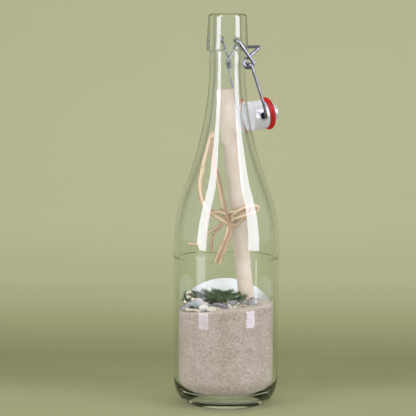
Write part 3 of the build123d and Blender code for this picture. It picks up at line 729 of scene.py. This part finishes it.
shell_looks = {
    "brown": shell_material("brown snail shell", ["#776851", "#B5A78C", "#DDD4BE"], 3.0, 0.55, 0.16),
    "beige": shell_material("beige shell", ["#AC9C80", "#CABDA2", "#DDD3BE"], 3.0, 0.4),
    "blue_grey": shell_material(
        "blue-grey shell", ["#69727A", "#989FA2", "#D2D3CE"], 4.4, 0.6, 0.1, direction="Y"
    ),
    "cream": shell_material("cream shell", ["#BBAD92", "#D9CFBA", "#E8E2D4"], 3.0, 0.45),
    "purple": shell_material(
        "purple mussel shell", ["#453F45", "#77727A", "#A5A1A4"], 5.0, 0.6, 0.1, gloss=0.35
    ),
    "grey": shell_material("grey shell", ["#62605C", "#92908C", "#CFCCC6"], 4.7, 0.6, 0.12, direction="Y"),
    "patterned": shell_material(
        "rayed shell", ["#3E3C3A", "#8C8984", "#DDDAD3"], 4.7, 0.7, 0.18, direction="Y"
    ),
}
print(len(shell_looks), "shell materials")


# %% Shell shapes
def turned(unit_shape, size, roll, tip, turn, place):
    """Scales a unit shape, rolls, tips and turns it, and sets it down."""
    spin = (
        Matrix.Rotation(-view_turn + math.radians(turn), 3, "Z")
        @ Matrix.Rotation(math.radians(tip), 3, "Y")
        @ Matrix.Rotation(math.radians(roll), 3, "X")
    )
    return lambda u, v: place + spin @ (unit_shape(u, v) * size * mm)


def coil(windings=2.6, growth=0.5, rise=0.75, ribs=0):
    """A tube that winds outwards and grows, from its tip at u 0 to its hollow mouth at u 1."""
    lip, throat, tube_share = 0.9, 0.96, 0.52

    def place(u, v):
        out = min(1.0, u / lip)
        grown = growth ** (windings * (1 - out))
        angle = math.tau * windings * out
        tube = tube_share * grown * (1 + 0.05 * math.cos(ribs * angle))
        if u > lip:
            tube *= 0.86 if u < throat else 0.3
            angle -= (u - lip) * 9 if u > 0.92 else 0
        reach = 0.5 * grown + tube * math.cos(math.tau * v)
        drop = rise * grown - 0.5 * rise - tube * math.sin(math.tau * v) * 1.05
        return Vector((reach * math.cos(angle), reach * math.sin(angle), drop))

    return place


def fan(height=0.6, ribs=14, depth=0.035, width=1.0):
    """A ribbed dome that fans out from a beak at one side."""

    def place(u, v):
        angle = math.tau * v
        reach = u**0.8
        across = reach * math.cos(angle) * 0.96 + 0.55 * (1 - reach)
        flute = depth * math.cos(ribs * angle) * u
        growth = 0.012 * math.cos(34 * u)
        rise = height * (1 - reach**2.2)
        return Vector((across, reach * math.sin(angle) * width, rise + flute + growth))

    return place


def long_shell(width=0.5, height=0.42):
    """A long dome, pointed at one end, with growth lines."""

    def place(u, v):
        angle = math.tau * v
        reach = u**0.9
        narrow = width * (0.72 + 0.28 * math.cos(angle))
        growth = 0.018 * math.cos(46 * u)
        across = reach * math.cos(angle) - 0.5 * (1 - reach)
        return Vector((across, reach * narrow * math.sin(angle), height * (1 - reach**2) + growth))

    return place


def pebble(seed, flat=0.5):
    """A worn fragment: a lumpy, flattened ball."""

    def place(u, v):
        polar, angle = math.pi * u, math.tau * v
        ring = math.sin(polar)
        out = Vector((ring * math.cos(angle), ring * math.sin(angle), math.cos(polar) * flat))
        return out * (1 + 0.22 * noise.noise(out * 1.6 + Vector((seed, 0, 0))))

    return place


# %% [markdown]
# The shells in a table: kind, size in millimetres, how it is rolled, tipped and turned, its place across,
# away and above the sand, its material, and the solid it stands for. A kind is its unit shape, its grid
# along and around, and its wall as a share of its size.

# %% Shells on the sand
shell_kinds = {
    "coil": (coil(), 150, 18, 0),
    "squat_coil": (coil(2.2, 0.46, 0.5, 9), 150, 18, 0),
    "fan": (fan(0.6, 14, 0.05), 16, 126, 0.07),
    "flat_fan": (fan(0.4, 11, 0.05, 0.9), 16, 88, 0.07),
    "limpet": (fan(0.85, 15, 0.07, 0.95), 18, 150, 0.07),
    "mussel": (long_shell(), 22, 72, 0.06),
    "chip": (pebble(3, 0.3), 18, 26, 0),
    "pebble": (pebble(8, 0.6), 18, 26, 0),
}
shells = [
    ("coil", 4.9, 15, 70, 20, -30.7, -6.0, 9.6, "brown", "periwinkle_left"),
    ("squat_coil", 3.3, 70, 10, 200, -31.0, -13.5, 5.6, "brown", "whelk_left"),
    ("squat_coil", 2.7, 60, 0, 70, 2.0, -7.0, 2.8, "grey", "periwinkle_grey"),
    ("coil", 2.5, 80, 0, 150, 9.6, -17.0, 1.6, "brown", "whelk_dark"),
    ("fan", 5.0, 60, 12, -20, -24.4, -14.0, 3.4, "blue_grey", "cockle_blue_grey"),
    ("fan", 4.0, 34, 0, 20, -17.6, -18.5, 1.4, "cream", "cockle_cream_small"),
    ("fan", 4.2, 14, 8, 30, -11.6, -24.0, 0.4, "cream", "cockle_cream_large"),
    ("flat_fan", 2.9, 20, 5, 120, 15.8, -18.0, 0.4, "beige", "cockle_beige_small"),
    ("limpet", 5.3, 36, -24, -14, 20.8, -9.5, 1.4, "grey", "cockle_grey_right"),
    ("mussel", 7.6, 26, 4, 8, -5.0, -13.5, 0.9, "purple", "mussel_purple"),
    ("limpet", 4.4, 42, 8, 10, 7.2, -9.5, 1.6, "patterned", "limpet_patterned"),
    ("chip", 3.3, 10, 0, 20, -29.0, -19.5, 1.2, "beige", "chip_beige_left"),
    ("chip", 3.4, 6, 8, 60, -22.6, -25.0, 0.8, "beige", "chip_beige_front"),
    ("chip", 3.3, 52, 0, 90, 3.4, -20.0, 1.2, "cream", "chip_white_triangle"),
    ("fan", 4.6, 48, -10, 25, -22.6, -7.5, 4.6, "beige", None),
    ("fan", 3.8, 52, 10, -30, -29.4, -15.0, 4.0, "blue_grey", None),
    ("squat_coil", 3.2, 40, 20, 130, -33.4, -15.4, 1.4, "grey", None),
    ("fan", 3.4, 44, 6, 30, -16.8, -11.0, 2.6, "grey", None),
    ("pebble", 2.4, 0, 0, 40, -26.0, -21.0, 1.2, "brown", None),
    ("pebble", 2.0, 0, 0, 10, -17.2, -25.0, 0.8, "grey", None),
    ("flat_fan", 3.4, 40, 0, -30, -12.2, -13.5, 1.2, "grey", None),
    ("limpet", 3.8, 46, -10, -22, 13.2, -8.5, 1.8, "patterned", None),
    ("pebble", 1.9, 0, 0, 0, 7.4, -20.0, 0.8, "cream", None),
    ("coil", 2.3, 50, 40, 20, 16.4, -12.0, 1.6, "patterned", None),
    ("chip", 2.4, 20, 10, 0, -6.4, -21.5, 0.7, "brown", None),
    ("pebble", 1.7, 0, 0, 75, -1.2, -19.0, 0.6, "purple", None),
    ("coil", 3.2, 30, 50, 60, -27.0, -8.0, 6.0, "cream", None),
]
for count, (kind, size, roll, tip, turn, across, away, lift, look, node) in enumerate(shells):
    unit_shape, along, around, wall = shell_kinds[kind]
    spot = inside(across, away, sand_top(across) + lift)
    name = (node or f"small_shell_{count}") + "_shell"
    bent = turned(unit_shape, size, roll, tip, turn, spot)
    thing = bent_sheet(name, along, around, bent, wall * size, smooth=50)
    finished(thing, shell_looks[look], "bottle", "shell_" + look, *([node] if node else []))
print(len(shells), "shells")

# %% [markdown]
# ## Evergreen sprig and moss
#
# The sprig lies behind the shells: short twigs set all round with needles, so close that the twigs themselves
# are hidden and left out. One needle is a slim four-sided cone, and each copy leans forward by its own angle.
# The golden turn from one to the next spreads them evenly, as on a real twig. Each needle has its own random
# tone with painted light on it: needles that point up are painted lighter, and one side of each is painted
# darker than the other. Moss is the same, but finer.

# %% Needles along stems
golden_turn = 2.4


def needles(name, stems, count, length_mm, width_mm, lean, spread, seed):
    """Copies of one slim cone round stems of points in millimetres, each with own tone and painted light."""
    bpy.ops.object.select_all(action="DESELECT")
    bpy.ops.mesh.primitive_cone_add(vertices=4, radius1=0.5, radius2=0.125, depth=1)
    thing = bpy.context.object
    thing.name = name
    corners = [corner.co.copy() for corner in thing.data.vertices]
    cone_faces = [list(face.vertices) for face in thing.data.polygons]
    points, faces, tones_and_painted_light = [], [], []
    for number, stem in enumerate(stems):
        line = smooth_line([inside(*point) for point in stem])
        for index in range(count):
            u = (index + 0.5) / count
            place, forward = along_line(line, u)
            turn = index * golden_turn + number
            side = forward.orthogonal().normalized()
            out = side * math.cos(turn) + forward.cross(side) * math.sin(turn)
            angle = math.radians(lean + spread * wobble(seed, index * 0.73, number * 3.1))
            aim = forward * math.cos(angle) + out * math.sin(angle)
            length = length_mm * (1 - 0.3 * u) * (1 + 0.3 * wobble(seed + 1, index * 1.7, number)) * mm
            matrix = (
                Matrix.Translation(place + aim * length * 0.5)
                @ aim.to_track_quat("Z", "Y").to_matrix().to_4x4()
                @ Matrix.Diagonal((width_mm * mm, width_mm * mm, length, 1))
            )
            faces += [[len(points) + corner for corner in face] for face in cone_faces]
            points += [matrix @ corner for corner in corners]
            # random tone plus painted light: lighter where a needle points up, and one side painted darker than
            # the other
            tone_and_painted_light = 0.5 + 0.5 * wobble(seed + 2, index * 2.3, number * 1.9) + 0.35 * max(0.0, out.z)
            tones_and_painted_light += [tone_and_painted_light - 0.18] * 4 + [tone_and_painted_light + 0.12] * 4
    thing.data = bpy.data.meshes.new(name)
    thing.data.from_pydata(points, [], faces)
    thing.data.attributes.new("tone_and_painted_light", "FLOAT", "POINT").data.foreach_set("value", tones_and_painted_light)
    return thing


def needle_material(name, colours, roughness):
    """Waxy or dry fibre whose colour follows each needle's tone, painted light included."""
    material, shader, place = new_material(name, {"Roughness": roughness, "IOR": 1.45})
    tone_and_painted_light = add_node(material, "Attribute", attribute_name="tone_and_painted_light").outputs["Fac"]
    shift = add_node(material, "TexNoise", {"Vector": place, "Scale": per_size(1.2), "Detail": 3.0})
    blend = {"Factor": 0.3, "A": tone_and_painted_light, "B": shift}
    both = add_node(material, "Mix", blend, data_type="FLOAT").outputs["Result"]
    colour = add_node(material, "ValToRGB", {"Fac": both}, colours)
    fine = add_node(material, "Bump", {"Height": shift, "Strength": 0.3, "Distance": 0.1 * mm})
    set_inputs(material, shader, {"Base Color": colour, "Normal": fine})
    return material


evergreen_colours = [(0.22, "#121D10"), (0.48, "#294022"), (0.68, "#4C6B3C"), (0.88, "#86A26C")]
evergreen = needle_material("evergreen needles", evergreen_colours, 0.5)
dry_moss = needle_material("dry moss", [(0.2, "#171C12"), (0.5, "#2F3823"), (0.8, "#5F6443")], 0.8)
print(evergreen.name, "and", dry_moss.name)

# %% Sprig
twigs = [
    [(-20, 6, 2), (-27, 3, 6), (-33, -1, 9.5)],
    [(-18, 8, 3), (-26, 6, 8), (-34, 3, 12)],
    [(-14, 9, 3), (-21, 8, 9), (-29, 6, 12.5)],
    [(-12, 6, 3), (-17, 4, 9), (-23, 1, 12)],
    [(-8, 10, 3), (-12, 9, 9), (-19, 9, 12.5)],
    [(-2, 12, 3), (-5, 11, 8), (-11, 10, 12)],
    [(-6, 3, 2), (-9, 1, 6), (-15, -2, 9)],
    [(2, 10, 3), (0, 8, 8), (-5, 5, 11)],
    [(0, 4, 2), (-2, 2, 5), (-7, -1, 8)],
    [(6, 10, 2), (5, 6, 7), (1, 2, 10)],
    [(-4, 2, 3), (2, 1, 6), (8, -2, 8.5)],
    [(-2, 6, 5), (5, 4, 8.5), (12, -1, 9.5)],
    [(2, 2, 3), (9, -3, 6.5), (16, -7, 7.5)],
    [(-12, 2, 2), (-10, -3, 5), (-5, -7, 6.5)],
    [(-20, 1, 2), (-17, -3, 6), (-11, -6, 8)],
    [(-28, 2, 3), (-32, -4, 6), (-34, -9, 8)],
    [(4, 3, 2), (8, -3, 4.5), (14, -6, 5)],
    [(-22, 3, 4), (-25, -1, 7), (-30, -4, 9.5)],
    [(-26, 4, 2), (-18, 3, 6), (-10, 1, 9)],
    [(-16, 3, 1), (-8, 2, 4), (0, -1, 6.5)],
    [(-24, 10, 5), (-15, 10, 9), (-7, 9, 11.5)],
    [(-10, 8, 6), (-2, 6, 9), (5, 4, 11)],
    [(-30, 6, 6), (-22, 5, 9), (-15, 4, 10.5)],
    [(-6, 8, 4), (-13, 5, 8), (-20, 3, 10)],
    [(4, 8, 5), (-3, 6, 8.5), (-11, 4, 10.5)],
    [(-22, 8, 5), (-29, 3, 8.5), (-34, -3, 10.5)],
    [(-14, 6, 5), (-6, 5, 9), (3, 3, 10.5)],
    [(-26, 0, 2), (-20, -2, 5), (-14, -4, 7)],
    [(-8, 0, 2), (-1, -2, 4.5), (6, -4, 6)],
]
stems = [[(x, y, sand_top(x) + up) for x, y, up in twig] for twig in twigs]
sprig = needles("evergreen_sprig_needles", stems, 60, 4.2, 0.9, 44, 30, 21)
finished(sprig, evergreen, "bottle", "evergreen", "evergreen_sprig")
print("sprig", len(sprig.data.polygons), "faces")

# %% Moss
tufts = [(-33, -6, 0.6), (-34, -4, 3), (-33, -8, 5.4), (-34, -3, 7.4), (-31, -12, 0.8), (-30, -14, 2.8)]
bow = ((0, 0, 0), (2, -4, 1), (5, -8, 0))
stems = [[(x + dx, y + dy, sand_top(x) + up + dz) for dx, dy, dz in bow] for x, y, up in tufts]
moss = needles("moss_fibres", stems, 110, 2.6, 0.4, 60, 35, 33)
finished(moss, dry_moss, "bottle", "moss", "moss_tuft")
print("moss", len(moss.data.polygons), "faces")

# %% [markdown]
# ## Stage and light
#
# The bottle stands on a plain olive sweep: floor and backdrop are one sheet with a round bend between them,
# so no horizon shows through the glass. What looks at the sweep, straight, in a mirror or through the glass,
# sees a colour set by the distance behind the bottle: a darker band close behind it, then paler further back.
# The light that it throws back on the object is kept neutral, so that the paper and the porcelain stay white.

# %% Sweep paper
floor_stops = [
    (0.03, "#A8AA7A"), (0.06, "#A7A979"), (0.12, "#959666"), (0.2, "#8E8F5F"), (0.28, "#9D9E6E"),
    (0.38, "#B0B17F"), (0.5, "#C3C496"), (0.63, "#D0D2A2"), (0.99, "#E4E4B9"),
]
bounce_colour = "#C8C8C2"
sweep, shader, place = new_material("plain paper sweep", {"Roughness": 0.9})
ray = add_node(sweep, "LightPath").outputs
rays = {0: ray["Is Camera Ray"], 1: ray["Is Transmission Ray"]}
seen = add_node(sweep, "Math", rays, operation="MAXIMUM")
seen = add_node(sweep, "Math", {0: seen, 1: ray["Is Glossy Ray"]}, operation="MAXIMUM")
depth = add_node(sweep, "SeparateXYZ", {"Vector": place}).outputs["Y"]
depth = add_node(sweep, "MapRange", {"Value": depth, "From Min": -0.05, "From Max": 1.25})
shades = add_node(sweep, "ValToRGB", {"Fac": depth}, floor_stops)
pulp = add_node(sweep, "TexNoise", {"Vector": place, "Scale": per_size(600.0), "Detail": 2.0})
faint = add_node(sweep, "ValToRGB", {"Fac": pulp}, [(0.3, "#FAFAFA"), (0.7, "#FFFFFF")])
graded_colour = add_node(sweep, "Mix", {"Factor": 1.0, "A": shades, "B": faint}, **multiply)
blend = {"Factor": seen, "A": linear(bounce_colour), "B": graded_colour.outputs["Result"]}
shown = add_node(sweep, "Mix", blend, data_type="RGBA")
set_inputs(sweep, shader, {"Base Color": shown.outputs["Result"]})
print(sweep.name, "in", len(floor_stops), "shades")

# %% Floor and backdrop
sweep_depth, sweep_height, sweep_bend = 1.9, 3.0, 0.9


def pick_edges(shape, wanted):
    """Selects just the edges for which wanted is true."""
    for edge in shape.edges:
        edge.select_set(wanted(edge))
    shape.select_flush_mode()


bpy.ops.object.select_all(action="DESELECT")
bpy.ops.mesh.primitive_plane_add(size=2 * sweep_depth)
floor = bpy.context.object
floor.name = "floor"
shape = edit(floor, "EDGE")
pick_edges(shape, lambda edge: all(corner.co.y > 0 for corner in edge.verts))
bpy.ops.mesh.extrude_region_move(TRANSFORM_OT_translate={"value": (0, 0, sweep_height)})
shape = bmesh.from_edit_mesh(floor.data)
pick_edges(shape, lambda edge: all(corner.co.y > 0 and abs(corner.co.z) < mm for corner in edge.verts))
bpy.ops.mesh.bevel(offset=sweep_bend, segments=24)
bpy.ops.object.mode_set(mode="OBJECT")
bpy.ops.object.shade_smooth()
floor.data.materials.append(sweep)
floor.rotation_euler = (0, 0, -view_turn)
floor.scale = (2.0, 1.0, 1.0)
print("sweep", sweep_depth, "m deep,", sweep_height, "m high")

# %% [markdown]
# The room round the stage is a plain pale light. It is a little stronger where it is seen in a mirror or
# through glass, so that the bottle's edges don't go black.

# %% Room light
room_strength, room_seen_strength = 0.45, 0.75
world = bpy.data.worlds.new("soft room light")
bpy.context.scene.world = world
world.use_nodes = True
ray = add_node(world, "LightPath").outputs
rays = {0: ray["Is Glossy Ray"], 1: ray["Is Transmission Ray"]}
looked_at = add_node(world, "Math", rays, operation="MAXIMUM")
strengths = {"Value": looked_at, "To Min": room_strength, "To Max": room_seen_strength}
strength = add_node(world, "MapRange", strengths)
room = world.node_tree.nodes["Background"]
set_inputs(world, room, {"Color": linear("#E2E2DE"), "Strength": strength})
print("room light", room_strength, "and", room_seen_strength)

# %% [markdown]
# Two tall soft boxes stand on the floor, one each side of the camera. A polished bottle mirrors each as a
# narrow white strip, but a box as bright as that would bleach the paper. So each box is two lamps in one
# place: a weak one that lights, and a strong one that matt surfaces don't see. Four low cards do the same for
# the small patches in front of the sand and the dim strips above them. A broad lamp overhead lights the floor
# and the top of the sand.


# %% Lamps
def beside(degrees, distance, height):
    """A place round the bottle: 0 degrees is towards the camera, and more is further to the right."""
    side = math.radians(degrees)
    out = -away_axis * math.cos(side) + across_axis * math.sin(side)
    return out * distance + Vector((0, 0, height))


def area_lamp(name, place, width, height, power, lean=0):
    """An area light, level and leaning or straight above, that looks at the bottle. Glass hides it."""
    lamp_data = bpy.data.lights.new(name, "AREA")
    lamp_data.shape = "RECTANGLE"
    lamp_data.size = width
    lamp_data.size_y = height
    lamp_data.energy = power
    lamp = bpy.data.objects.new(name, lamp_data)
    bpy.context.scene.collection.objects.link(lamp)
    lamp.location = place
    lamp.visible_transmission = False
    level = Vector((-place.x, -place.y, 0))
    if level.length > mm:
        turn = level.to_track_quat("-Z", "Y") @ Quaternion((0, 0, 1), math.radians(lean))
        lamp.rotation_euler = turn.to_euler()
    return lamp


def only_mirrored(lamp):
    """Keeps a lamp's light to reflections."""
    lamp.data.color = shine_colour
    lamp.visible_diffuse = False


# The shine's faint violet cancels the green of the glass.
shine_colour = (0.81, 0.77, 1.0)
box_distance, box_height, box_power, shine_power = 1.3, 1.6, 4.6, 55
for name, degrees, width, lean in (("left soft box", -47.8, 0.5, -11.7), ("right soft box", 59.5, 0.6, 3.7)):
    middle = beside(degrees, box_distance, box_height / 2)
    area_lamp(name, middle, width, box_height, box_power, lean)
    just_in_front = middle * 0.999
    only_mirrored(area_lamp(name + " shine", just_in_front, width, box_height, shine_power * width, lean))
# name, degrees round, distance, height of its middle, width, height and power
for name, degrees, distance, up, width, height, power in (
    ("left glint", -47.5, 0.3, 0.032, 0.117, 0.016, 0.032),
    ("right glint", 52.2, 0.3, 0.034, 0.1, 0.016, 0.042),
    ("left low card", -55.2, 0.6, 0.03, 0.22, 0.056, 0.13),
    ("right low card", 66.5, 0.6, 0.03, 0.036, 0.05, 0.03),
):
    only_mirrored(area_lamp(name, beside(degrees, distance, up), width, height, power))
# 1.9 m up, 1.4 m square, 14 W
overhead = area_lamp("overhead soft box", Vector((0, 0, 1.9)), 1.4, 1.4, 14)
overhead.visible_glossy = False
print(len(bpy.data.lights), "lamps")
